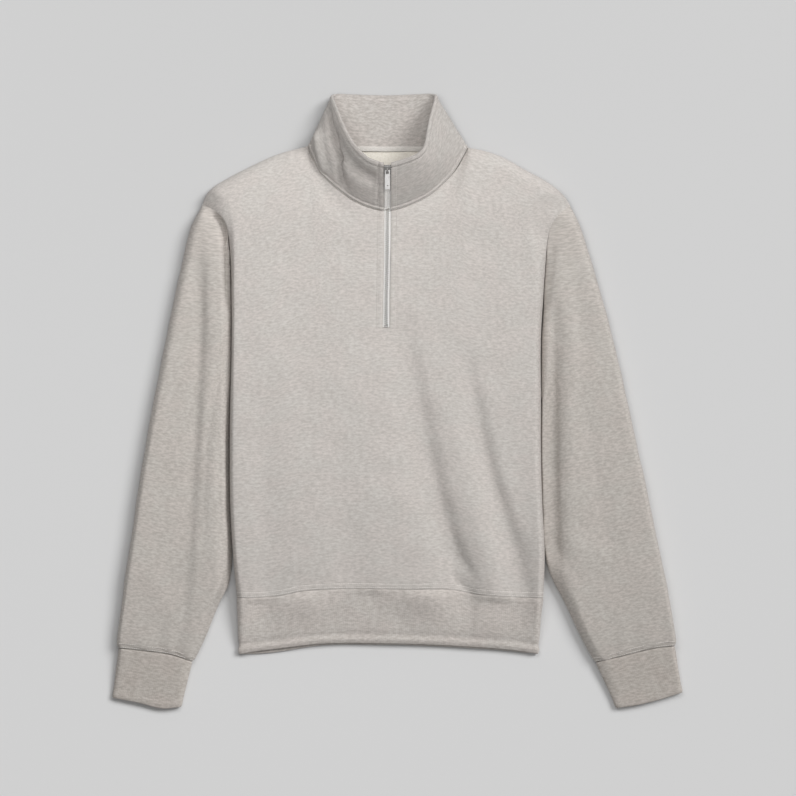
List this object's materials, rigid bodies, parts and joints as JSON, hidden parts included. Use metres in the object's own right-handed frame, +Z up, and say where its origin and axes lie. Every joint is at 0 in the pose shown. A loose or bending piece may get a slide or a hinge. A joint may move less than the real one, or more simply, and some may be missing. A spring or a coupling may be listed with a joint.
{
  "type": "quarter zip sweatshirt laid flat",
  "caption": "Long-sleeved fleece sweatshirt with a stand collar and a short front zip, lying flat and face up, with its sleeves angled down beside the body.",
  "frame": {"origin": "on the surface the garment lies on, under the middle of its outline", "axes": "+Z up out of the surface, +Y along the garment from the waistband towards the collar, +X towards the picture's right"},
  "size_m": [0.7634, 0.8272, 0.0712],
  "materials": {
    "fleece": "brushed heather fleece",
    "rib": "fine doubled knit",
    "tape": "woven tape",
    "zip_tape": "woven zip tape",
    "metal": "satin metal"
  },
  "bodies": {
    "garment": {"front_panel": "fleece", "back_panel": "fleece", "sleeve_left": "fleece", "sleeve_right": "fleece", "collar": "fleece", "cuff_left": "rib", "cuff_right": "rib", "waistband": "rib", "neck_tape": "tape", "zip_tape_left": "zip_tape", "zip_tape_right": "zip_tape", "zip_chain": "metal", "zip_bottom_stop": "metal", "zip_slider": "metal"},
    "pull": {"zip_pull": "metal"}
  },
  "joints": [
    {"name": "pull_tab_hinge", "type": "hinge", "parent": "garment", "child": "pull", "pos_m": [-0.0134, 0.30832, 0.06796], "axis": [-1, 0, 0], "range_deg": [0, 165]}
  ]
}
